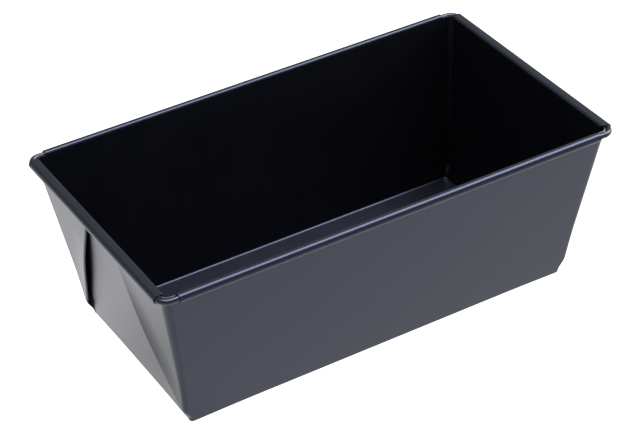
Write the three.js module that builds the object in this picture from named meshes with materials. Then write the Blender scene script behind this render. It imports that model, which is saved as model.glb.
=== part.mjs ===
// A folded loaf pan in millimetres, +Z up, standing on Z = 0 with its centre on the Z axis and its
// length along X.
//
// Two pieces make it. The pan itself is one blank of coated steel sheet, folded without a cut: a base,
// two long walls and two end walls, and at each corner a spare triangle of sheet, the ear, that is
// pinched double and laid flat against the outside of the end wall. The rim is rolled outwards round a
// closed ring of wire, which shows at the four corners, where the roll stops short.
import * as THREE from "three";

// ---- Driving dimensions ----
const rimLength = 250; // over the rolled rim
const rimWidth = 142; // over the rolled rim
const panHeight = 90; // from the table to the top of the rim
const baseLength = 211.8; // outside of the end walls, where they would meet the table
const baseWidth = 103.2; // outside of the long walls, where they would meet the table
const sheetThickness = 0.5;
const layerGap = 0.3; // between folded layers of sheet
const wireDiameter = 3;
const wireCorner = 5; // radius of the wire's corners, at its centre
const wireClearance = 0.15; // between the wire and the sheet round it
const longRollStop = 8.2; // from where the wire's straight lines would meet to the end of a long roll
const endRollStop = 4.4; // the same for an end wall's roll
const rollEnd = THREE.MathUtils.degToRad(118); // how far the roll tucks under, past its outermost point
const rollShoulder = 1.2; // mid-sheet radius where a wall turns over into the roll
const longBend = 1.5; // mid-sheet radius between the base and the middle of a long wall
const endBend = 2; // mid-sheet radius between the base and the middle of an end wall
const cornerBend = 0.65; // mid-sheet radius between the base and the upright corners
const bendRun = 30; // distance from a corner over which a base bend opens out
const footCorner = 1.8; // mid-sheet radius of the pan's upright corners at the base
const rimCorner = 3.8; // the same at the height of the wire, open enough to clear the wire's corner
const earApex = 5; // height where the straight line of the ear's crease would meet the corner
const pleatTop = 10; // height below which the ear's folds open out towards the base
const pleatStart = THREE.MathUtils.degToRad(35); // turn of those folds at the base
const earGap = 1; // how far the crease of the ear springs off the end wall at its foot
const earBulge = 1.2; // how much further it springs off halfway up
const earSpringRun = 16; // width of ear, beside the crease, that springs off
const foldTuck = 0.3; // from the end of a corner's curve to the inner fold behind it
const lapEase = 1; // how gradually the crease leaves the upright for its slope

// ---- Sizes that follow ----
const half = sheetThickness / 2;
const wireRadius = wireDiameter / 2;
const rollRadius = wireRadius + wireClearance + half; // mid-sheet, about the wire
const wireX = rimLength / 2 - rollRadius - half;
const wireY = rimWidth / 2 - rollRadius - half;
const wireZ = panHeight - rollRadius - half;
const layerPitch = sheetThickness + layerGap; // from the middle of one layer to the middle of the next
const foldRadius = layerPitch / 2;
const earStack = 2 * layerPitch; // from the end wall to the outer layer of an ear that is pressed flat
const quarter = Math.PI / 2;

// ---- How finely the curves are cut ----
const steps = { long: 1, corner: 3, crease: 4, lap: 6, innerFold: 3, end: 2 }; // along the sheet
const rows = { bend: 3, pleat: 4, wall: 10 }; // up the sheet
const rollSteps = { shoulder: 2, curl: 9 };
const rowCrowding = 1.5; // above 1, a wall's rows crowd towards its foot
const lapCrowding = 1.5; // above 1, an ear's points crowd towards its crease
const wireSides = 12;
const wireCornerSteps = 6;

// Lean from the vertical of a wall whose outer face meets the table at `foot`, and passes the wire,
// which is `wireAt` from the pan's centre, with room for the roll.
function leanOf(wireAt, foot) {
  const run = wireAt - foot;
  return Math.atan2(run, wireZ) + Math.asin((half - rollRadius) / Math.hypot(run, wireZ));
}
const longLean = leanOf(wireY, baseWidth / 2);
const endLean = leanOf(wireX - earStack, baseLength / 2);

// Mid-sheet distances from the pan's centre at height z.
const longWallY = (z) => baseWidth / 2 - half / Math.cos(longLean) + z * Math.tan(longLean);
const endWallX = (z) => baseLength / 2 - half / Math.cos(endLean) + z * Math.tan(endLean);
const earX = (z) => endWallX(z) + earStack;
const cornerRadius = (z) => footCorner + ((rimCorner - footCorner) * z) / wireZ;

// The top of every wall and ear: a wall goes on from here into its roll.
const wallTop = (lean) => wireZ + rollRadius - rollShoulder * (1 - Math.sin(lean));
const rollBottom = wireZ - rollRadius - half;
const pleatFoot = half + cornerBend * (1 - Math.sin(longLean));

// A sheet folds flat only if the two halves of the ear are equal, so the crease halves the angle that
// the base and the two walls leave at the corner. creaseSlope is how far the crease moves in from the
// corner for each unit of height.
const cornerOnLongWall = Math.atan(Math.tan(endLean) * Math.cos(longLean));
const cornerOnEndWall = Math.atan(Math.tan(longLean) * Math.cos(endLean));
const earHalfAngle = (quarter - cornerOnLongWall - cornerOnEndWall) / 2;
const creaseSlope = Math.tan(earHalfAngle - cornerOnEndWall) / Math.cos(endLean);
const earWidth = (z) => longWallY(z) - longWallY(0) + creaseSlope * (z - earApex);

const { clamp, smoothstep } = THREE.MathUtils;
const smooth = (s) => smoothstep(s, 0, 1);

// How far closed the ear's folds are at height z, from 0 at the base to 1 at the top of the pleat.
const closingAt = (z) => smooth((z - pleatFoot) / (pleatTop - pleatFoot));

// How far the ear's crease springs off the end wall at height z: not at all at the base, nor under the
// roll, which traps it.
function springAt(z) {
  const share = clamp((z - pleatTop) / (rollBottom - pleatTop), 0, 1);
  const spring = earGap * Math.cos(quarter * share) ** 2 + earBulge * Math.sin(Math.PI * share) ** 2;
  return spring * closingAt(z);
}

// One quarter of the sheet's middle line at height z, from the middle of a long wall (X = 0) to the
// middle of an end wall (Y = 0). nx, ny point to the sheet's outer side, rolled marks the points whose
// wall goes on into a roll, and away is the distance along a wall from its corner.
function quarterSection(z) {
  const points = [];
  const put = (x, y, nx, ny, rolled = false, away = 0) => points.push({ x, y, nx, ny, rolled, away });
  const radius = cornerRadius(z);
  const wallY = longWallY(z);

  // Both layers of the ear lift towards the crease, ever more steeply. `back` is the distance from where
  // it turns.
  const lift = springAt(z);
  const liftAt = (back) => lift * clamp(1 - back / earSpringRun, 0, 1) ** 2;
  const slopeAt = (back) => (2 * lift * clamp(1 - back / earSpringRun, 0, 1)) / earSpringRun;
  const creaseTilt = Math.atan(slopeAt(0));

  // The two layers lie together over the lap, from the crease to the inner fold. The inner fold is wide
  // enough for the lift that is left there, and for the tilt of the crease.
  const lapFor = (innerRadius) => {
    const spare = earWidth(z) - radius - foldTuck - innerRadius - foldRadius;
    return (spare + Math.hypot(spare, lapEase)) / 2;
  };
  const tiltedRadius = foldRadius * (2 - Math.cos(creaseTilt));
  const innerRadius = tiltedRadius + liftAt(lapFor(tiltedRadius)) / 2;
  const lap = lapFor(innerRadius);
  const outerRun = lap + innerRadius + foldTuck;
  const backAt = (i) => lap * (i / steps.lap) ** lapCrowding; // the same for both layers, so they run level

  // Crease and inner fold turn by the same angle, one each way. What the two folds and the lap between
  // them take up is the distance from the end wall to the ear's outer layer.
  const turn = pleatStart + (Math.PI - pleatStart) * closingAt(z);
  const innerTurn = turn - Math.atan(slopeAt(lap));
  const creaseDepth = foldRadius * (Math.cos(creaseTilt) - Math.cos(turn - creaseTilt));
  const lapDepth = lap * Math.sin(turn) - liftAt(lap);
  const lapX = endWallX(z) + creaseDepth + lapDepth + innerRadius * (1 - Math.cos(innerTurn));

  // long wall, up to where its roll stops
  const rollHalf = earX(z) - (earX(wireZ) - wireX) - longRollStop;
  for (let i = 0; i <= steps.long; i++) {
    const along = (rollHalf * i) / steps.long;
    put(along, wallY, 0, 1, true, earX(z) - radius - along);
  }

  // rounded corner, which meets the ear at the slope that the ear starts with
  const tilt = Math.atan(slopeAt(outerRun));
  const cornerX = lapX + liftAt(outerRun) - radius * Math.cos(tilt);
  const cornerY = wallY - radius;
  for (let i = 0; i <= steps.corner; i++) {
    const a = quarter + ((tilt - quarter) * i) / steps.corner;
    put(cornerX + radius * Math.cos(a), cornerY + radius * Math.sin(a), Math.cos(a), Math.sin(a));
  }

  // ear's outer layer
  const earStart = cornerY + radius * Math.sin(tilt);
  for (let i = steps.lap; i >= 0; i--) {
    const back = backAt(i);
    const slope = slopeAt(back);
    const length = Math.hypot(1, slope);
    put(lapX + liftAt(back), earStart - outerRun + back, 1 / length, slope / length);
  }

  // crease, inner layer and inner fold
  let x = lapX + lift;
  let y = earStart - outerRun;
  const fold = (r, side, from, sweep, count) => {
    // side 1 turns the sheet inwards from the ear's outer layer, and side -1 turns it back again
    const centreX = x - side * r * Math.cos(from);
    const centreY = y + side * r * Math.sin(from);
    for (let i = 1; i <= count; i++) {
      const a = from + (side * sweep * i) / count;
      x = centreX + side * r * Math.cos(a);
      y = centreY - side * r * Math.sin(a);
      put(x, y, Math.cos(a), -Math.sin(a));
    }
  };
  fold(foldRadius, 1, -creaseTilt, turn, steps.crease);
  const creaseX = x;
  const creaseY = y;
  for (let i = 1; i <= steps.lap; i++) {
    const back = backAt(i);
    const tip = turn - Math.atan(slopeAt(back));
    x = creaseX - back * Math.sin(turn) - lift + liftAt(back);
    y = creaseY - back * Math.cos(turn);
    put(x, y, Math.cos(tip), -Math.sin(tip));
  }
  fold(innerRadius, -1, innerTurn, innerTurn, steps.innerFold);

  // end wall, from the inner fold to the middle
  points.at(-1).rolled = true;
  for (let i = 1; i <= steps.end; i++) put(x, y * (1 - i / steps.end), 1, 0, true, (y * i) / steps.end);
  return points;
}

// The whole middle line at height z: the quarter and its three mirror images, clockwise from above.
function fullSection(z) {
  const q = quarterSection(z);
  const flip = (p, sx, sy) => ({ ...p, x: sx * p.x, y: sy * p.y, nx: sx * p.nx, ny: sy * p.ny });
  const mirrored = (sx, sy) => q.map((p) => flip(p, sx, sy));
  const back = (list) => list.reverse().slice(1, -1);
  return [...q, ...back(mirrored(1, -1)), ...mirrored(-1, -1), ...back(mirrored(-1, 1))];
}

// Columns of the folded sheet. Each is a list of points up the sheet, with the normal of the sheet's
// outer side.
function sheetColumns() {
  const nudge = 0.01;
  const leanAt = (k, z) => {
    const low = fullSection(z - nudge)[k];
    const high = fullSection(z + nudge)[k];
    return ((high.x - low.x) * low.nx + (high.y - low.y) * low.ny) / (2 * nudge);
  };
  return fullSection(half).map((foot, k) => {
    const onEnd = Math.abs(foot.nx) > Math.abs(foot.ny);
    const bend = cornerBend + ((onEnd ? endBend : longBend) - cornerBend) * smooth(foot.away / bendRun);
    const column = baseBend(foot, bend, Math.atan(leanAt(k, pleatFoot)));
    const top = wallTop(onEnd ? endLean : longLean);
    for (const z of wallHeights(column.at(-1).p.z, top)) {
      const here = fullSection(z)[k];
      const normal = new THREE.Vector3(here.nx, here.ny, -leanAt(k, z)).normalize();
      column.push({ p: new THREE.Vector3(here.x, here.y, z), n: normal });
    }
    const wallCount = column.length;
    if (foot.rolled) column.push(...roll(column.at(-1).p, foot, onEnd));
    return { column, wallCount };
  });
}

// The bend from the base up to the foot of a wall.
function baseBend(foot, bend, lean) {
  const sweep = quarter - lean;
  const points = [];
  for (let i = 0; i <= rows.bend; i++) {
    const a = (sweep * i) / rows.bend;
    const out = bend * (Math.sin(a) - Math.tan(sweep / 2));
    const z = half + bend * (1 - Math.cos(a));
    points.push({
      p: new THREE.Vector3(foot.x + foot.nx * out, foot.y + foot.ny * out, z),
      n: new THREE.Vector3(foot.nx * Math.sin(a), foot.ny * Math.sin(a), -Math.cos(a)),
    });
  }
  return points;
}

// Heights of the rows of a wall: evenly through the pleat, then closest together just above it, up to
// the roll's underside, and the top.
function wallHeights(from, top) {
  const heights = [];
  for (let i = 1; i <= rows.pleat; i++) heights.push(from + ((pleatTop - from) * i) / rows.pleat);
  for (let i = 1; i <= rows.wall; i++) {
    heights.push(pleatTop + (rollBottom - pleatTop) * (i / rows.wall) ** rowCrowding);
  }
  return [...heights, top];
}

// The rolled edge, carried on from the top of a wall: over the shoulder, level to the wire, and round
// it. It spreads along the wire a little on its way over the shoulder, as far as its stop.
function roll(start, foot, onEnd) {
  const out = new THREE.Vector2(foot.nx, foot.ny);
  const lean = onEnd ? endLean : longLean;
  const wireAt = onEnd ? wireX : wireY;
  const startOut = (onEnd ? Math.abs(start.x) : Math.abs(start.y)) - wireAt;
  const wallPoints = quarterSection(start.z).filter((p) => p.rolled && p.nx > p.ny === onEnd);
  const wallEdge = Math.max(...wallPoints.map((p) => (onEnd ? p.y : p.x)));
  const spread = (onEnd ? wireY - endRollStop : wireX - longRollStop) / wallEdge;
  const points = [];
  const put = (u, z, a, share) => {
    const along = 1 + (spread - 1) * share;
    const x = onEnd ? start.x + out.x * (u - startOut) : start.x * along;
    const y = onEnd ? start.y * along : start.y + out.y * (u - startOut);
    points.push({
      p: new THREE.Vector3(x, y, z),
      n: new THREE.Vector3(-out.x * Math.cos(a), -out.y * Math.cos(a), -Math.sin(a)),
    });
  };
  const shoulderOut = startOut + rollShoulder * Math.cos(lean);
  for (let i = 1; i <= rollSteps.shoulder; i++) {
    const share = i / rollSteps.shoulder;
    const a = Math.PI - lean - (quarter - lean) * share;
    const z = wireZ + rollRadius + rollShoulder * (Math.sin(a) - 1);
    put(shoulderOut + rollShoulder * Math.cos(a), z, a, share);
  }
  for (let i = 0; i <= rollSteps.curl; i++) {
    const a = quarter - ((quarter + rollEnd) * i) / rollSteps.curl;
    put(rollRadius * Math.cos(a), wireZ + rollRadius * Math.sin(a), a, 1);
  }
  return points;
}

// A closed solid from columns of mid-sheet points: the outer and inner faces, the base, and the cut
// edges.
function foldedSheet() {
  const columns = sheetColumns();
  const middle = [];
  for (const { column } of columns) {
    column.first = middle.length;
    middle.push(...column);
  }
  const faces = [];
  columns.forEach(({ column, wallCount }, k) => {
    const next = columns[(k + 1) % columns.length];
    const bothRolled = Math.min(column.length, next.column.length) > wallCount;
    const count = bothRolled ? column.length : wallCount;
    for (let j = 0; j + 1 < count; j++) {
      const a = column.first + j;
      const b = next.column.first + j;
      faces.push([a, a + 1, b + 1], [a, b + 1, b]);
    }
  });
  const ring = columns.map(({ column }) => column.first);
  const outline = ring.map((i) => new THREE.Vector2(middle[i].p.x, middle[i].p.y));
  for (const [a, b, c] of THREE.ShapeUtils.triangulateShape(outline, [])) {
    const up = new THREE.Vector2().subVectors(outline[b], outline[a]);
    const across = new THREE.Vector2().subVectors(outline[c], outline[a]);
    faces.push(up.cross(across) < 0 ? [ring[a], ring[b], ring[c]] : [ring[a], ring[c], ring[b]]);
  }
  return thickened(middle, faces);
}

// Gives a surface its thickness. Points are {p, n}, and faces are triangles that turn right-handed
// about n.
function thickened(middle, faces) {
  const count = middle.length;
  const positions = [];
  for (const side of [half, -half]) {
    for (const { p, n } of middle) positions.push(...p.clone().addScaledVector(n, side));
  }
  const index = [];
  const edges = new Set();
  for (const [a, b, c] of faces) {
    index.push(a, b, c, count + a, count + c, count + b);
    for (const [from, to] of [[a, b], [b, c], [c, a]]) edges.add(from * count + to);
  }
  for (const edge of edges) {
    const from = Math.floor(edge / count);
    const to = edge % count;
    if (edges.has(to * count + from)) continue;
    index.push(to, from, count + from, to, count + from, count + to);
  }
  const geometry = new THREE.BufferGeometry();
  geometry.setAttribute("position", new THREE.Float32BufferAttribute(positions, 3));
  geometry.setIndex(index);
  return geometry;
}

// The closed ring of wire: a circle carried round a rectangle with rounded corners.
function wireRing() {
  const path = [];
  for (let corner = 0; corner < 4; corner++) {
    const sx = corner === 0 || corner === 3 ? 1 : -1;
    const sy = corner < 2 ? 1 : -1;
    const centre = new THREE.Vector2(sx * (wireX - wireCorner), sy * (wireY - wireCorner));
    for (let i = 0; i <= wireCornerSteps; i++) {
      const a = quarter * (corner + i / wireCornerSteps);
      path.push({ centre, out: new THREE.Vector2(Math.cos(a), Math.sin(a)) });
    }
  }
  const positions = [];
  const index = [];
  path.forEach(({ centre, out }, k) => {
    for (let i = 0; i < wireSides; i++) {
      const a = (2 * Math.PI * i) / wireSides;
      const reach = wireCorner + wireRadius * Math.cos(a);
      const z = wireZ + wireRadius * Math.sin(a);
      positions.push(centre.x + out.x * reach, centre.y + out.y * reach, z);
      const next = (i + 1) % wireSides;
      const here = k * wireSides;
      const there = ((k + 1) % path.length) * wireSides;
      index.push(here + i, there + i, there + next, here + i, there + next, here + next);
    }
  });
  const geometry = new THREE.BufferGeometry();
  geometry.setAttribute("position", new THREE.Float32BufferAttribute(positions, 3));
  geometry.setIndex(index);
  return geometry;
}

// ---- The two pieces ----
const coating = (color, roughness) =>
  new THREE.MeshStandardMaterial({ color, roughness, metalness: 0.25 });
const coatedSheet = coating(0x1b1c21, 0.42);
const coatedWire = coating(0x141519, 0.35);

const pan = new THREE.Group();
for (const [name, geometry, material] of [
  ["folded_sheet", foldedSheet(), coatedSheet],
  ["rim_wire", wireRing(), coatedWire],
]) {
  const mesh = new THREE.Mesh(geometry, material);
  mesh.name = name;
  pan.add(mesh);
}

export default pan;
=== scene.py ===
# %% [markdown]
# # A folded loaf pan
# A loaf pan is one flat blank of coated steel, folded up like the paper round a present. At each corner
# the spare sheet is pinched into a double triangle, the ear, and laid flat outside the end wall. The rim is
# rolled round a ring of wire. Nothing is cut or welded, so a bread pan made this way holds liquid batter.
#
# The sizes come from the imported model. The lesson first builds the middle surface of the sheet, row by
# row, then lets Geometry Nodes give it its thickness, then finishes it.

import math

import bpy
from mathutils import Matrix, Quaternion, Vector


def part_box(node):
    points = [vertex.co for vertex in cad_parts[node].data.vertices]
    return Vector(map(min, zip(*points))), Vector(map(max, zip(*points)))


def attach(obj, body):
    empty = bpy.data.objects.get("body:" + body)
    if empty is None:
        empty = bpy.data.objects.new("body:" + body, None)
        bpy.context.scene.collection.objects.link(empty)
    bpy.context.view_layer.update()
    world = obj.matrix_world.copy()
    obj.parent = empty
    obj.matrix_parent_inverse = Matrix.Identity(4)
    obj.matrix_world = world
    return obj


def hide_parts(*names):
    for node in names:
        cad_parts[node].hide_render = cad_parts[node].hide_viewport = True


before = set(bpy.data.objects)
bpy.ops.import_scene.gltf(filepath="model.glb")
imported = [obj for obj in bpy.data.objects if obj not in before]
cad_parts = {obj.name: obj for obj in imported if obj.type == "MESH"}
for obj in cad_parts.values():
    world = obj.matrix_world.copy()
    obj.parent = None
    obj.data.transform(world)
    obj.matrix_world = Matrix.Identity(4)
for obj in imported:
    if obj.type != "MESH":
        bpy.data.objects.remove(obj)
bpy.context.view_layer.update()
MM = 0.001
sheet_low, sheet_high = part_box("folded_sheet")
wire_low, wire_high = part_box("rim_wire")
print("pan:", [round(v / MM, 2) for v in sheet_high - sheet_low], "mm")

# %% [markdown]
# ## The camera
# A long lens from one and a bit metres away keeps the long edges nearly parallel, as in a catalogue. The
# camera is placed by the direction it looks from, as azimuth and elevation about a point in the pan, and
# then turned a little about its own axis, because it was held slightly out of level.

# %% Camera
azimuth = math.radians(-29.579)
elevation = math.radians(35.1)
tilt = math.radians(-2.593)
aim = Vector((9.45, 20.65, 32.19)) * MM
distance = 1.1179

towards_camera = Vector((
    math.sin(azimuth) * math.cos(elevation),
    -math.cos(azimuth) * math.cos(elevation),
    math.sin(elevation),
))
camera = bpy.data.objects.new("camera", bpy.data.cameras.new("camera"))
bpy.context.scene.collection.objects.link(camera)
camera.data.lens = 124.7
camera.data.sensor_width = 36
camera.data.clip_start = 0.01
camera.location = aim + distance * towards_camera
level = (-towards_camera).to_track_quat("-Z", "Y")
camera.rotation_euler = (level @ Quaternion((0, 0, 1), tilt)).to_euler()
bpy.context.scene.camera = camera
print("camera at", [round(v, 3) for v in camera.location])

# %% [markdown]
# ## The sizes of the folds
# The overall sizes are read from the frame. What is left are the sizes that a tin maker would set on the
# tools: the sheet, the bend radii, and how tightly the ears are pressed. `half` is half the sheet, because
# every line below runs along the middle of the sheet's thickness.

# %% Sizes
sheet = 0.5 * MM
half = sheet / 2
layer_gap = 0.3 * MM
layer_pitch = sheet + layer_gap         # folded layers lie this far apart, middle to middle
fold_radius = layer_pitch / 2
ear_stack = 2 * layer_pitch             # from the end wall to the outer layer of a flat ear
wire_radius = (wire_high.z - wire_low.z) / 2
wire_clearance = 0.15 * MM
roll_radius = wire_radius + wire_clearance + half
wire_x = sheet_high.x - roll_radius - half
wire_y = sheet_high.y - roll_radius - half
wire_z = sheet_high.z - roll_radius - half
wire_corner = 5 * MM
base_length = 211.8 * MM
base_width = 103.2 * MM
long_bend, end_bend, corner_bend = 1.5 * MM, 2 * MM, 0.65 * MM  # between the base and the walls
bend_run = 30 * MM                      # a base bend opens out over this distance from a corner
long_roll_stop = 8.2 * MM               # from the wire's corner to the end of a long wall's roll
end_roll_stop = 4.4 * MM                # the same for an end wall's roll
foot_corner, rim_corner = 1.8 * MM, 3.8 * MM  # upright corners, at the base and at the wire
print("wire ring:", round(2 * wire_x / MM, 1), "by", round(2 * wire_y / MM, 1), "mm, middle to middle")

# %% Where the walls stand
def lean_of(wire_at, foot):
    """The lean of a wall that starts at its foot and passes the wire with room for the roll."""
    run = wire_at - foot
    return math.atan2(run, wire_z) + math.asin((half - roll_radius) / math.hypot(run, wire_z))


long_lean = lean_of(wire_y, base_width / 2)
end_lean = lean_of(wire_x - ear_stack, base_length / 2)


def long_wall_y(z):
    return base_width / 2 - half / math.cos(long_lean) + z * math.tan(long_lean)


def end_wall_x(z):
    return base_length / 2 - half / math.cos(end_lean) + z * math.tan(end_lean)


print("walls lean", round(math.degrees(long_lean), 1), "and", round(math.degrees(end_lean), 1), "degrees")

# %% [markdown]
# ## The ear
# Fold a paper corner and look at it: the crease halves the angle between the base and the wall, so its
# slope isn't free, it follows from the leans. Steel springs back a little, so the crease stands off the end
# wall, most of all halfway up, and not at all at the top, where the roll traps it.

# %% The crease
ear_apex = 5 * MM                       # where the crease's straight line meets the corner
pleat_top = 10 * MM                     # below this the folds open out towards the base
pleat_start = math.radians(35)          # how far those folds have turned at the base
ear_gap = 1 * MM                        # how far the crease springs off at its foot
ear_bulge = 1.2 * MM                    # how much further it springs off halfway up
ear_spring_run = 16 * MM                # width of ear, beside the crease, that springs off
fold_tuck = 0.3 * MM                    # from the end of a corner's curve to the inner fold behind it
lap_ease = 1 * MM                       # how gradually the crease leaves the upright for its slope
roll_bottom = wire_z - roll_radius - half
pleat_foot = half + corner_bend * (1 - math.sin(long_lean))

corner_on_long_wall = math.atan(math.tan(end_lean) * math.cos(long_lean))
corner_on_end_wall = math.atan(math.tan(long_lean) * math.cos(end_lean))
ear_half_angle = (math.pi / 2 - corner_on_long_wall - corner_on_end_wall) / 2
crease_slope = math.tan(ear_half_angle - corner_on_end_wall) / math.cos(end_lean)
print("the crease leaves the corner at", round(math.degrees(math.atan(crease_slope)), 1), "degrees")


def smooth(share):
    share = min(max(share, 0), 1)
    return share * share * (3 - 2 * share)


def ear_width(z):
    return long_wall_y(z) - long_wall_y(0) + crease_slope * (z - ear_apex)


def closing_at(z):
    """How far closed the ear's folds are, from 0 at the base to 1 at the top of the pleat."""
    return smooth((z - pleat_foot) / (pleat_top - pleat_foot))


def spring_at(z):
    """How far the crease springs off the end wall at height z."""
    share = min(max((z - pleat_top) / (roll_bottom - pleat_top), 0), 1)
    spring = ear_gap * math.cos(math.pi / 2 * share) ** 2 + ear_bulge * math.sin(math.pi * share) ** 2
    return spring * closing_at(z)


# %% [markdown]
# ## One quarter of the outline
# Cut the pan level at any height and one quarter of the cut is always the same journey: along the long
# wall, round the corner, out along the ear, back under it, round the inner fold and along the end wall.
# Because every height has the same number of points, the heights join up into clean rows of quads. Each
# point carries the direction of the sheet's outer side, which the thickness needs later.

# %% How finely the journey is cut
LONG, CORNER, CREASE, LAP, INNER, END = 8, 12, 10, 18, 10, 6  # steps in each part of it
LAP_CROWDING = 1.5                      # above 1, points crowd towards the crease
END_CROWDING = 1.5                      # above 1, points crowd towards the inner fold


# %% The ear at one height
class Ear:
    """The measures of the ear at height z. `back` is a distance along the ear from its crease."""

    def __init__(self, z, corner_radius):
        self.lift = spring_at(z)
        self.tilt = math.atan(self.slope_at(0))
        tilted = fold_radius * (2 - math.cos(self.tilt))
        spare = ear_width(z) - corner_radius - fold_tuck - fold_radius

        def lap_for(inner_radius):
            return (spare - inner_radius + math.hypot(spare - inner_radius, lap_ease)) / 2

        self.inner_radius = tilted + self.lift_at(lap_for(tilted)) / 2
        self.lap = lap_for(self.inner_radius)
        self.outer_run = self.lap + self.inner_radius + fold_tuck
        self.backs = [self.lap * (i / LAP) ** LAP_CROWDING for i in range(LAP + 1)]

        # crease and inner fold turn by the same angle, one each way
        self.turn = pleat_start + (math.pi - pleat_start) * closing_at(z)
        self.inner_turn = self.turn - math.atan(self.slope_at(self.lap))
        crease_depth = fold_radius * (math.cos(self.tilt) - math.cos(self.turn - self.tilt))
        lap_depth = self.lap * math.sin(self.turn) - self.lift_at(self.lap)
        inner_depth = self.inner_radius * (1 - math.cos(self.inner_turn))
        self.x = end_wall_x(z) + crease_depth + lap_depth + inner_depth

    def share(self, back):
        return min(max(1 - back / ear_spring_run, 0), 1)

    def lift_at(self, back):
        return self.lift * self.share(back) ** 2

    def slope_at(self, back):
        return 2 * self.lift * self.share(back) / ear_spring_run


# %% Around the quarter
class Stop:
    """A point of the outline, its outward direction, and what the base bend and the roll must know."""

    def __init__(self, x, y, angle, rolled=False, away=0.0):
        self.x, self.y, self.nx, self.ny = x, y, math.cos(angle), math.sin(angle)
        self.rolled, self.away = rolled, away


def arc(centre_x, centre_y, radius, first, last, count, side=1):
    """Stops round an arc, without its first one. Side -1 is a hollow arc, seen from outside."""
    stops = []
    for i in range(1, count + 1):
        a = first + (last - first) * i / count
        across, along = side * radius * math.cos(a), side * radius * math.sin(a)
        stops.append(Stop(centre_x + across, centre_y + along, a))
    return stops


def long_wall_and_corner(z, radius, ear):
    wall_y = long_wall_y(z)
    flat_ear_x = end_wall_x(z) + ear_stack
    roll_half = flat_ear_x - (end_wall_x(wire_z) + ear_stack - wire_x) - long_roll_stop
    stops = []
    for i in range(LONG + 1):
        along = roll_half * math.sin(math.pi / 2 * i / LONG)
        stops.append(Stop(along, wall_y, math.pi / 2, True, flat_ear_x - radius - along))

    slant = math.atan(ear.slope_at(ear.outer_run))
    corner_x = ear.x + ear.lift_at(ear.outer_run) - radius * math.cos(slant)
    stops.append(Stop(corner_x, wall_y, math.pi / 2))
    return stops + arc(corner_x, wall_y - radius, radius, math.pi / 2, slant, CORNER)


def ear_layers(ear, start_y):
    """Outer layer, crease, inner layer and inner fold, in one journey out and back."""
    crease_y = start_y - ear.outer_run
    stops = []
    for back in reversed(ear.backs):
        stops.append(Stop(ear.x + ear.lift_at(back), crease_y + back, math.atan(ear.slope_at(back))))

    centre_x = stops[-1].x - fold_radius * math.cos(ear.tilt)
    centre_y = stops[-1].y - fold_radius * math.sin(ear.tilt)
    stops += arc(centre_x, centre_y, fold_radius, ear.tilt, ear.tilt - ear.turn, CREASE)

    crease = stops[-1]
    for back in ear.backs[1:]:
        x = crease.x - back * math.sin(ear.turn) - ear.lift + ear.lift_at(back)
        y = crease.y - back * math.cos(ear.turn)
        stops.append(Stop(x, y, math.atan(ear.slope_at(back)) - ear.turn))

    centre_x = stops[-1].x + ear.inner_radius * math.cos(ear.inner_turn)
    centre_y = stops[-1].y - ear.inner_radius * math.sin(ear.inner_turn)
    return stops + arc(centre_x, centre_y, ear.inner_radius, -ear.inner_turn, 0, INNER, side=-1)


def quarter_outline(z):
    radius = foot_corner + (rim_corner - foot_corner) * z / wire_z
    ear = Ear(z, radius)
    stops = long_wall_and_corner(z, radius, ear)
    stops += ear_layers(ear, stops[-1].y)
    stops[-1].rolled = True
    end_x, end_y = stops[-1].x, stops[-1].y
    for i in range(1, END + 1):
        share = 1 - (i / END) ** END_CROWDING
        stops.append(Stop(end_x, end_y * share, 0, True, end_y * (1 - share)))
    return stops


print("stops in a quarter outline:", len(quarter_outline(40 * MM)))

# %% [markdown]
# ## Up the sheet
# Each stop of the outline becomes a column: out of the base through its bend, up the wall and, where the
# rim is rolled, over the shoulder and round the wire. A column is a list of pairs, a point and the outward
# direction there. The rows are closest together just above the pleat, where the shape changes fastest.

# %% Base bend and wall
BEND, PLEAT, WALL, SHOULDER, CURL = 8, 20, 26, 6, 26  # steps in each part of a column
ROW_CROWDING = 1.5                      # above 1, rows crowd towards the pleat
NUDGE = 0.01 * MM                       # half the height over which a column's lean is measured


def base_bend(foot, bend, lean):
    sweep = math.pi / 2 - lean
    column = []
    for i in range(BEND + 1):
        a = sweep * i / BEND
        out = bend * (math.sin(a) - math.tan(sweep / 2))
        point = Vector((foot.x + foot.nx * out, foot.y + foot.ny * out, half + bend * (1 - math.cos(a))))
        column.append((point, Vector((foot.nx * math.sin(a), foot.ny * math.sin(a), -math.cos(a)))))
    return column


def wall_heights(first, top):
    heights = [first + (pleat_top - first) * i / PLEAT for i in range(1, PLEAT + 1)]
    rise = roll_bottom - pleat_top
    heights += [pleat_top + rise * (i / WALL) ** ROW_CROWDING for i in range(1, WALL + 1)]
    return heights + [top]


outlines = {}


def outline_at(z):
    key = round(z / MM, 6)
    if key not in outlines:
        outlines[key] = quarter_outline(z)
    return outlines[key]


def lean_at(k, z):
    low, high = outline_at(z - NUDGE)[k], outline_at(z + NUDGE)[k]
    return ((high.x - low.x) * low.nx + (high.y - low.y) * low.ny) / (2 * NUDGE)


# %% The rolled rim
ROLL_END = math.radians(118)            # how far the roll tucks under, past its outermost point
roll_shoulder = 1.2 * MM


def wall_top(lean):
    return wire_z + roll_radius - roll_shoulder * (1 - math.sin(lean))


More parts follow.
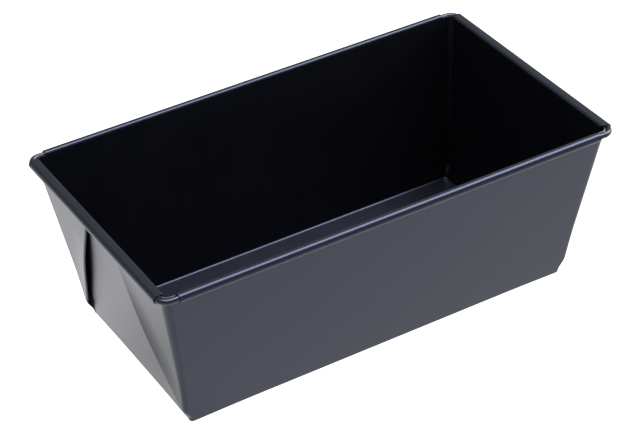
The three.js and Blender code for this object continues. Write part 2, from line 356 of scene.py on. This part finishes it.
def roll(start, on_end):
    """The rim, carried on from the top of a wall over the shoulder, level to the wire, and round it."""
    lean, wire_at = (end_lean, wire_x) if on_end else (long_lean, wire_y)
    start_out = (start.x if on_end else start.y) - wire_at
    edges = [s.y if on_end else s.x for s in outline_at(start.z) if s.rolled and (s.nx > s.ny) == on_end]
    stretch = (wire_y - end_roll_stop if on_end else wire_x - long_roll_stop) / max(edges)
    column = []

    def put(u, z, a, share):
        along = 1 + (stretch - 1) * share
        point = (wire_at + u, start.y * along, z) if on_end else (start.x * along, wire_at + u, z)
        across = -math.cos(a)
        normal = (across, 0, -math.sin(a)) if on_end else (0, across, -math.sin(a))
        column.append((Vector(point), Vector(normal)))

    shoulder_out = start_out + roll_shoulder * math.cos(lean)
    for i in range(1, SHOULDER + 1):
        share = i / SHOULDER
        a = math.pi - lean - (math.pi / 2 - lean) * share
        z = wire_z + roll_radius + roll_shoulder * (math.sin(a) - 1)
        put(shoulder_out + roll_shoulder * math.cos(a), z, a, share)
    for i in range(CURL + 1):
        a = math.pi / 2 - (math.pi / 2 + ROLL_END) * i / CURL
        put(roll_radius * math.cos(a), wire_z + roll_radius * math.sin(a), a, 1)
    return column


# %% All the columns of a quarter
def quarter_columns():
    columns = []
    for k, foot in enumerate(outline_at(half)):
        on_end = abs(foot.nx) > abs(foot.ny)
        full_bend = end_bend if on_end else long_bend
        bend = corner_bend + (full_bend - corner_bend) * smooth(foot.away / bend_run)
        column = base_bend(foot, bend, math.atan(lean_at(k, pleat_foot)))
        for z in wall_heights(column[-1][0].z, wall_top(end_lean if on_end else long_lean)):
            here = outline_at(z)[k]
            normal = Vector((here.nx, here.ny, -lean_at(k, z))).normalized()
            column.append((Vector((here.x, here.y, z)), normal))
        rim = roll(column[-1][0], on_end) if foot.rolled else []
        columns.append((column, rim))
    return columns


quarter = quarter_columns()
print("columns in a quarter:", len(quarter), " rows:", len(quarter[0][0]) + len(quarter[0][1]))

# %% [markdown]
# ## The middle surface
# The other three quarters are mirror images. Mirroring turns a face inside out, so instead of mirroring
# faces, the mirrored columns are put in one loop round the pan, always in the same sense, and the faces are
# made once for the whole loop. The base is one flat face inside the lowest ring.

# %% Loop of columns
def mirrored(columns, sx, sy):
    def flip(pairs):
        sign = Vector((sx, sy, 1))
        return [(point * sign, normal * sign) for point, normal in pairs]

    return [(flip(wall), flip(rim)) for wall, rim in columns]


loop = list(quarter)
loop += mirrored(quarter, 1, -1)[-2:0:-1]
loop += mirrored(quarter, -1, -1)
loop += mirrored(quarter, -1, 1)[-2:0:-1]


# %% Mesh of the middle surface
def middle_surface():
    points, normals, faces, firsts = [], [], [], []
    for wall, rim in loop:
        firsts.append(len(points))
        for point, normal in wall + rim:
            points.append(point)
            normals.append(normal)
    for k, (wall, rim) in enumerate(loop):
        after = (k + 1) % len(loop)
        rows = len(wall) + (len(rim) if rim and loop[after][1] else 0)
        for j in range(rows - 1):
            a, b = firsts[k] + j, firsts[after] + j
            faces.append((a, a + 1, b + 1, b))
    faces.append(firsts)
    mesh = bpy.data.meshes.new("middle_surface")
    mesh.from_pydata(points, [], faces)
    outward = mesh.attributes.new("outward", "FLOAT_VECTOR", "POINT")
    outward.data.foreach_set("vector", [c for n in normals for c in n])
    return mesh


blank = bpy.data.objects.new("folded_sheet_middle", middle_surface())
bpy.context.scene.collection.objects.link(blank)
print("middle surface:", len(blank.data.vertices), "points,", len(blank.data.polygons), "faces")

# %% [markdown]
# ## Helpers for Geometry Nodes
# A tree is built in three moves: name its inputs, add nodes, link them. A modifier keeps each input under
# the socket's identifier, so a small helper looks the identifier up by the input's name.

# %% Node helpers
def new_tree(name, inputs):
    """A Geometry Nodes tree with named inputs. Returns the tree and its two end nodes."""
    tree = bpy.data.node_groups.new(name, "GeometryNodeTree")
    tree.interface.new_socket("Geometry", in_out="INPUT", socket_type="NodeSocketGeometry")
    for label, kind in inputs.items():
        tree.interface.new_socket(label, in_out="INPUT", socket_type="NodeSocket" + kind)
    tree.interface.new_socket("Geometry", in_out="OUTPUT", socket_type="NodeSocketGeometry")
    return tree, tree.nodes.new("NodeGroupInput"), tree.nodes.new("NodeGroupOutput")


def add(tree, kind, values=None, **settings):
    """Adds a node, sets its own settings, and fills or links its inputs by name or number."""
    node = tree.nodes.new(kind)
    for key, value in settings.items():
        setattr(node, key, value)
    for key, value in (values or {}).items():
        if isinstance(value, bpy.types.NodeSocket):
            tree.links.new(value, node.inputs[key])
        else:
            node.inputs[key].default_value = value
    return node


def grown(base, tree, values, name):
    """Runs a tree on an object and returns the result as a plain mesh object, without the modifier."""
    modifier = base.modifiers.new("grow", "NODES")
    modifier.node_group = tree
    for item in tree.interface.items_tree:
        if item.in_out == "INPUT" and item.name in values:
            modifier[item.identifier] = values[item.name]
    base.update_tag()
    graph = bpy.context.evaluated_depsgraph_get()
    mesh = bpy.data.meshes.new_from_object(base.evaluated_get(graph))
    base.modifiers.remove(modifier)
    bpy.data.objects.remove(base)
    mesh.name = name
    piece = bpy.data.objects.new(name, mesh)
    bpy.context.scene.collection.objects.link(piece)
    print(name, "has", len(mesh.vertices), "points and", len(mesh.polygons), "faces")
    return piece


# %% [markdown]
# ## Finishes
# The pan has one finish: a thin, hard, black non-stick coating, baked on. It is a clear-ish binder over
# black pigment, so it mirrors like varnish: weakly where seen straight on, strongly at a glance. Straight
# on, that weak mirror is slightly blue, which is what Specular Tint says. The base colour under it is
# nearly black.
#
# Three effects are shared by both materials, so each is a node group: the fine orange peel of the sprayed
# coat, the faint rub marks of use, and the bare metal that shows at the cut edges.

# %% Shader helpers
def new_effect(name, inputs, outputs):
    """A shader node group with named inputs, given as (kind, default), and named outputs."""
    tree = bpy.data.node_groups.new(name, "ShaderNodeTree")
    for label, (kind, default) in inputs.items():
        socket = tree.interface.new_socket(label, in_out="INPUT", socket_type="NodeSocket" + kind)
        if default is not None:
            socket.default_value = default
    for label, kind in outputs.items():
        tree.interface.new_socket(label, in_out="OUTPUT", socket_type="NodeSocket" + kind)
    return tree, tree.nodes.new("NodeGroupInput"), tree.nodes.new("NodeGroupOutput")


def noise(tree, vector, scale, detail=2.0, roughness=0.5):
    node = add(tree, "ShaderNodeTexNoise", {
        "Vector": vector, "Scale": scale, "Detail": detail, "Roughness": roughness,
    })
    return node.outputs["Fac"]


def spread(tree, value, low, high, to_low=0.0, to_high=1.0):
    """Stretches a value from one range to another, and holds it at the ends."""
    node = add(tree, "ShaderNodeMapRange", {
        "Value": value, "From Min": low, "From Max": high, "To Min": to_low, "To Max": to_high,
    })
    return node.outputs["Result"]


def maths(tree, operation, a, b=0.0):
    return add(tree, "ShaderNodeMath", {0: a, 1: b}, operation=operation).outputs[0]


# %% Effect: orange peel
MOTTLE_SCALE = 55.0                     # noise scales are per metre, so these patches are 18 mm across


def orange_peel():
    """The skin of a sprayed and baked coat: a soft swell a millimetre or so across, and finer grit."""
    tree, enter, leave = new_effect(
        "orange_peel",
        {"Vector": ("Vector", None), "Swell size": ("Float", 0.0016), "Grit size": ("Float", 0.0003),
         "Grit share": ("Float", 0.3)},
        {"Height": "Float", "Mottle": "Float"},
    )
    swell_scale = maths(tree, "DIVIDE", 1.0, enter.outputs["Swell size"])
    grit_scale = maths(tree, "DIVIDE", 1.0, enter.outputs["Grit size"])
    swell = noise(tree, enter.outputs["Vector"], swell_scale, 1.0)
    grit = noise(tree, enter.outputs["Vector"], grit_scale, 2.0, 0.6)
    height = maths(tree, "ADD", swell, maths(tree, "MULTIPLY", grit, enter.outputs["Grit share"]))
    tree.links.new(height, leave.inputs["Height"])
    mottle = noise(tree, enter.outputs["Vector"], MOTTLE_SCALE, 4.0, 0.6)
    tree.links.new(spread(tree, mottle, 0.3, 0.7), leave.inputs["Mottle"])
    return tree


# %% Effect: rub marks
# each set of lines: how far it is turned, and how hard the noise is squeezed along each axis
RUB_LINES = ((0.35, (60, 2600, 60)), (-0.5, (1900, 80, 80)), (1.2, (70, 90, 2300)))
RUB_PATCH_SCALE = 28.0                  # the lines gather in patches about 36 mm across


def rub_marks():
    """Long, thin, broken lines where the pan slides on racks and knives have gone round the loaf."""
    tree, enter, leave = new_effect(
        "rub_marks",
        {"Vector": ("Vector", None), "Amount": ("Float", 0.5)},
        {"Mask": "Float"},
    )
    lines = []
    for turn, squeeze in RUB_LINES:
        mapping = add(tree, "ShaderNodeMapping", {"Vector": enter.outputs["Vector"],
                                                  "Rotation": (turn, turn / 3, turn / 2),
                                                  "Scale": squeeze})
        line = noise(tree, mapping.outputs["Vector"], 1.0, 1.0)
        lines.append(spread(tree, line, 0.68, 0.78))
    patch = spread(tree, noise(tree, enter.outputs["Vector"], RUB_PATCH_SCALE, 3.0), 0.5, 0.72)
    most = maths(tree, "MAXIMUM", maths(tree, "MAXIMUM", lines[0], lines[1]), lines[2])
    mask = maths(tree, "MULTIPLY", maths(tree, "MULTIPLY", most, patch), enter.outputs["Amount"])
    tree.links.new(mask, leave.inputs["Mask"])
    return tree


# %% Effect: bare cut edge
CHIP_SCALE, STAIN_SCALE = 900.0, 240.0  # chips in the coat about 1 mm across, stains about 4 mm


def bare_edge():
    """Where the blank was cut, the steel shows, dulled and stained by the oven, under a broken coat."""
    tree, enter, leave = new_effect(
        "bare_edge",
        {"Vector": ("Vector", None), "Edge": ("Float", 0.0), "Coat": ("Color", (0.01, 0.01, 0.01, 1)),
         "Steel": ("Color", (0.06, 0.055, 0.045, 1)), "Stain": ("Color", (0.03, 0.022, 0.015, 1))},
        {"Color": "Color", "Mask": "Float"},
    )
    broken = spread(tree, noise(tree, enter.outputs["Vector"], CHIP_SCALE, 3.0, 0.7), 0.36, 0.5)
    mask = maths(tree, "MULTIPLY", enter.outputs["Edge"], broken)
    stained = add(tree, "ShaderNodeMix", {
        0: spread(tree, noise(tree, enter.outputs["Vector"], STAIN_SCALE, 4.0), 0.4, 0.6),
        6: enter.outputs["Steel"], 7: enter.outputs["Stain"]}, data_type="RGBA")
    colour = add(tree, "ShaderNodeMix", {0: mask, 6: enter.outputs["Coat"], 7: stained.outputs[2]},
                 data_type="RGBA")
    tree.links.new(colour.outputs[2], leave.inputs["Color"])
    tree.links.new(mask, leave.inputs["Mask"])
    return tree


effects = {"peel": orange_peel(), "rub": rub_marks(), "edge": bare_edge()}
print("shared effects:", ", ".join(effects))

# %% [markdown]
# ## The coating
# The material puts the groups together: the mottle varies the colour and the roughness, rub marks add
# roughness and cut into the peel, the peel feeds a Bump node, and the cut edges take the bare metal's
# colour, roughness and metallic. The strengths are small. A good coating is mostly even, and it is the
# slight unevenness in its mirror that looks real.

# %% Coating material
COAT_IOR = 1.5
RUB_AMOUNT = 0.5
RUB_ROUGHER = 0.12                      # a rub mark adds this much roughness
RUB_DEPTH = 0.5                         # and cuts this share of the peel's height
EDGE_ROUGHNESS = 0.5
EDGE_METALLIC = 0.3                     # the broken coat leaves little of the steel in sight


def coating(name, dark, light, smoothest, roughest, peel_height, tint):
    material = bpy.data.materials.new(name)
    material.use_nodes = True
    tree = material.node_tree
    shader = tree.nodes["Principled BSDF"]
    shader.inputs["IOR"].default_value = COAT_IOR
    shader.inputs["Specular Tint"].default_value = tint
    place = add(tree, "ShaderNodeTexCoord").outputs["Object"]

    def effect(key, values):
        node = add(tree, "ShaderNodeGroup", node_tree=effects[key])
        for label, value in {"Vector": place, **values}.items():
            if isinstance(value, bpy.types.NodeSocket):
                tree.links.new(value, node.inputs[label])
            else:
                node.inputs[label].default_value = value
        return node.outputs

    peel = effect("peel", {})
    rub = effect("rub", {"Amount": RUB_AMOUNT})
    cut = add(tree, "ShaderNodeAttribute", attribute_name="cut_edge").outputs["Fac"]
    coat = add(tree, "ShaderNodeMix", {0: peel["Mottle"], 6: dark, 7: light}, data_type="RGBA")
    edge = effect("edge", {"Edge": cut, "Coat": coat.outputs[2]})
    tree.links.new(edge["Color"], shader.inputs["Base Color"])

    even = spread(tree, peel["Mottle"], 0, 1, smoothest, roughest)
    rubbed = maths(tree, "ADD", even, maths(tree, "MULTIPLY", rub["Mask"], RUB_ROUGHER))
    rough = add(tree, "ShaderNodeMix", {0: edge["Mask"], 2: rubbed, 3: EDGE_ROUGHNESS}).outputs[0]
    tree.links.new(rough, shader.inputs["Roughness"])
    tree.links.new(maths(tree, "MULTIPLY", edge["Mask"], EDGE_METALLIC), shader.inputs["Metallic"])

    height = maths(tree, "SUBTRACT", peel["Height"], maths(tree, "MULTIPLY", rub["Mask"], RUB_DEPTH))
    bump = add(tree, "ShaderNodeBump", {"Height": height, "Distance": peel_height})
    tree.links.new(bump.outputs["Normal"], shader.inputs["Normal"])
    return material


coated_sheet = coating("coated_sheet", (0.0010, 0.0010, 0.0012, 1), (0.0016, 0.0016, 0.0020, 1),
                       0.315, 0.325, 0.004 * MM, (0.41, 0.48, 0.80, 1))
coated_wire = coating("coated_wire", (0.0010, 0.0010, 0.0013, 1), (0.0028, 0.0028, 0.0034, 1),
                      0.26, 0.34, 0.006 * MM, (0.55, 0.6, 0.85, 1))

# %% [markdown]
# ## Giving the sheet its thickness
# A Solidify modifier guesses the outward direction from the faces round a point, which goes wrong in a
# tight fold. Here each point carries its own direction, so the tree pushes one copy of the surface out by
# half the sheet and another, turned inside out, in by half. Extruding by nothing first makes the strip of
# faces along the cut edges, and marks it for the bare metal.

# %% Thickness tree
def thickness_tree():
    tree, enter, leave = new_tree("sheet_thickness", {"Half thickness": "Float", "Finish": "Material"})
    outward = add(tree, "GeometryNodeInputNamedAttribute", {"Name": "outward"}, data_type="FLOAT_VECTOR")
    push = add(tree, "ShaderNodeVectorMath", {0: outward.outputs["Attribute"],
                                              "Scale": enter.outputs["Half thickness"]},
               operation="SCALE").outputs[0]
    pull = add(tree, "ShaderNodeVectorMath", {0: push, "Scale": -1.0}, operation="SCALE").outputs[0]

    walls = add(tree, "GeometryNodeExtrudeMesh", {"Mesh": enter.outputs["Geometry"], "Offset Scale": 0.0,
                                                  "Individual": False}, mode="FACES")
    marked = add(tree, "GeometryNodeStoreNamedAttribute", {
        "Geometry": walls.outputs["Mesh"], "Name": "cut_edge", "Value": walls.outputs["Side"],
    }, data_type="FLOAT", domain="FACE")
    offset = add(tree, "GeometryNodeSwitch", {"Switch": walls.outputs["Top"], "False": pull, "True": push},
                 input_type="VECTOR")
    outer = add(tree, "GeometryNodeSetPosition", {"Geometry": marked.outputs[0],
                                                  "Offset": offset.outputs[0]})
    turned = add(tree, "GeometryNodeFlipFaces", {"Mesh": enter.outputs["Geometry"]})
    inner = add(tree, "GeometryNodeSetPosition", {"Geometry": turned.outputs[0], "Offset": pull})

    both = add(tree, "GeometryNodeJoinGeometry")
    tree.links.new(outer.outputs[0], both.inputs[0])
    tree.links.new(inner.outputs[0], both.inputs[0])
    sewn = add(tree, "GeometryNodeMergeByDistance", {"Geometry": both.outputs[0], "Distance": 1e-6})
    real = add(tree, "GeometryNodeRealizeInstances", {"Geometry": sewn.outputs[0]})
    done = add(tree, "GeometryNodeSetMaterial", {"Geometry": real.outputs[0],
                                                 "Material": enter.outputs["Finish"]})
    tree.links.new(done.outputs[0], leave.inputs[0])
    return tree


# %% The folded sheet
def shaded(piece, sharpest):
    """Smooth shading that stays crisp at the cut edges and level on the big flats."""
    piece.data.shade_smooth()
    piece.data.set_sharp_from_angle(angle=math.radians(sharpest))
    level = piece.modifiers.new("level_normals", "WEIGHTED_NORMAL")
    level.keep_sharp = True
    return piece


pan = grown(blank, thickness_tree(), {"Half thickness": half, "Finish": coated_sheet},
            "folded_loaf_pan")
shaded(pan, 50)

# %% [markdown]
# ## The rim wire
# The wire follows a path, so a curve makes it: a rectangle with rounded corners, and a circle carried round
# it. Its straight runs hide in the roll. Only the corners show, where the roll stops short.

# %% Wire tree
def wire_tree():
    tree, enter, leave = new_tree("wire_ring", {
        "Length": "Float", "Width": "Float", "Height": "Float", "Corner radius": "Float",
        "Wire radius": "Float", "Finish": "Material"})
    outline = add(tree, "GeometryNodeCurvePrimitiveQuadrilateral", {
        "Width": enter.outputs["Length"], "Height": enter.outputs["Width"]})
    rounded = add(tree, "GeometryNodeFilletCurve", {
        "Curve": outline.outputs[0], "Radius": enter.outputs["Corner radius"], "Count": 16}, mode="POLY")
    section = add(tree, "GeometryNodeCurvePrimitiveCircle", {
        "Resolution": 40, "Radius": enter.outputs["Wire radius"]})
    tube = add(tree, "GeometryNodeCurveToMesh", {"Curve": rounded.outputs[0],
                                                 "Profile Curve": section.outputs[0]})
    lift = add(tree, "ShaderNodeCombineXYZ", {"Z": enter.outputs["Height"]})
    placed = add(tree, "GeometryNodeTransform", {"Geometry": tube.outputs[0],
                                                 "Translation": lift.outputs[0]})
    real = add(tree, "GeometryNodeRealizeInstances", {"Geometry": placed.outputs[0]})
    done = add(tree, "GeometryNodeSetMaterial", {"Geometry": real.outputs[0],
                                                 "Material": enter.outputs["Finish"]})
    tree.links.new(done.outputs[0], leave.inputs[0])
    return tree


# %% The wire
wire_base = bpy.data.objects.new("wire_base", bpy.data.meshes.new("wire_base"))
bpy.context.scene.collection.objects.link(wire_base)
wire = grown(wire_base, wire_tree(), {
    "Length": 2 * wire_x, "Width": 2 * wire_y, "Height": wire_z, "Corner radius": wire_corner,
    "Wire radius": wire_radius, "Finish": coated_wire}, "rim_wire_ring")
shaded(wire, 60)

# %% [markdown]
# ## The studio
# A black, glossy thing is lit by what it mirrors. The pan stands on a light table, a white sheet lit from
# below, so its walls mirror an even white. One long soft box overhead, a little to the right, draws the
# bright line along the top of the rolled rim. The rest of the room is a quiet grey. Off to the left the
# table glows a little less, which shades the end wall towards its corner.

# %% Light table
TABLE_GLOW, DIMMED_GLOW = 1.6, 1.02     # both above 1, so the table stays white to the camera
DIM_CENTRE, DIM_REACH = (-0.125, -0.008, 0), 65 * MM


def glowing(name, strength, dimmed, dim_centre, dim_reach):
    """An even white glow that falls to `dimmed` in a soft round patch."""
    material = bpy.data.materials.new(name)
    material.use_nodes = True
    tree = material.node_tree
    tree.nodes.clear()
    place = add(tree, "ShaderNodeTexCoord").outputs["Object"]
    away = add(tree, "ShaderNodeVectorMath", {0: place, 1: dim_centre}, operation="DISTANCE")
    glow_here = spread(tree, away.outputs["Value"], 0, dim_reach, dimmed, strength)
    glow = add(tree, "ShaderNodeEmission", {"Color": (1, 1, 1, 1), "Strength": glow_here})
    leave = add(tree, "ShaderNodeOutputMaterial")
    tree.links.new(glow.outputs[0], leave.inputs["Surface"])
    return material


table_half = 6.0
table_top = -0.3 * MM                   # just clear of the base, so that the two don't fight
floor_mesh = bpy.data.meshes.new("light_table")
floor_mesh.from_pydata([(x * table_half, y * table_half, table_top)
                        for x, y in ((-1, -1), (1, -1), (1, 1), (-1, 1))], [], [(0, 1, 2, 3)])
floor_mesh.materials.append(glowing("light_table", TABLE_GLOW, DIMMED_GLOW, DIM_CENTRE, DIM_REACH))
floor = bpy.data.objects.new("light_table", floor_mesh)
bpy.context.scene.collection.objects.link(floor)

# %% Soft box and room
def soft_box(name, direction, reach, length, width, radiance):
    """A lamp that faces the pan, long across it. Its power follows from how bright its face should be."""
    lamp = bpy.data.lights.new(name, "AREA")
    lamp.shape = "RECTANGLE"
    lamp.size, lamp.size_y = width, length
    lamp.energy = 4 * radiance * width * length
    box = bpy.data.objects.new(name, lamp)
    towards = Vector(direction).normalized()
    box.location = aim + reach * towards
    box.rotation_euler = (-towards).to_track_quat("-Z", "Y").to_euler()
    box.visible_camera = False
    bpy.context.scene.collection.objects.link(box)


soft_box("top_box", (0.42, -0.04, 0.9), reach=1.6, length=3.2, width=1.0, radiance=13)

room = bpy.data.worlds.new("room")
room.use_nodes = True
room.node_tree.nodes["Background"].inputs["Color"].default_value = (1, 1, 1, 1)
room.node_tree.nodes["Background"].inputs["Strength"].default_value = 0.6
bpy.context.scene.world = room
bpy.context.scene.view_settings.view_transform = "Standard"

# %% [markdown]
# ## Handing over
# Each finished piece rides on the pan's one body and stands in for its CAD node, which is hidden.

# %% Place the pieces in the frame
for piece, node, slot in ((pan, "folded_sheet", "coated_sheet"), (wire, "rim_wire", "coated_wire")):
    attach(piece, "root")
    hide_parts(node)
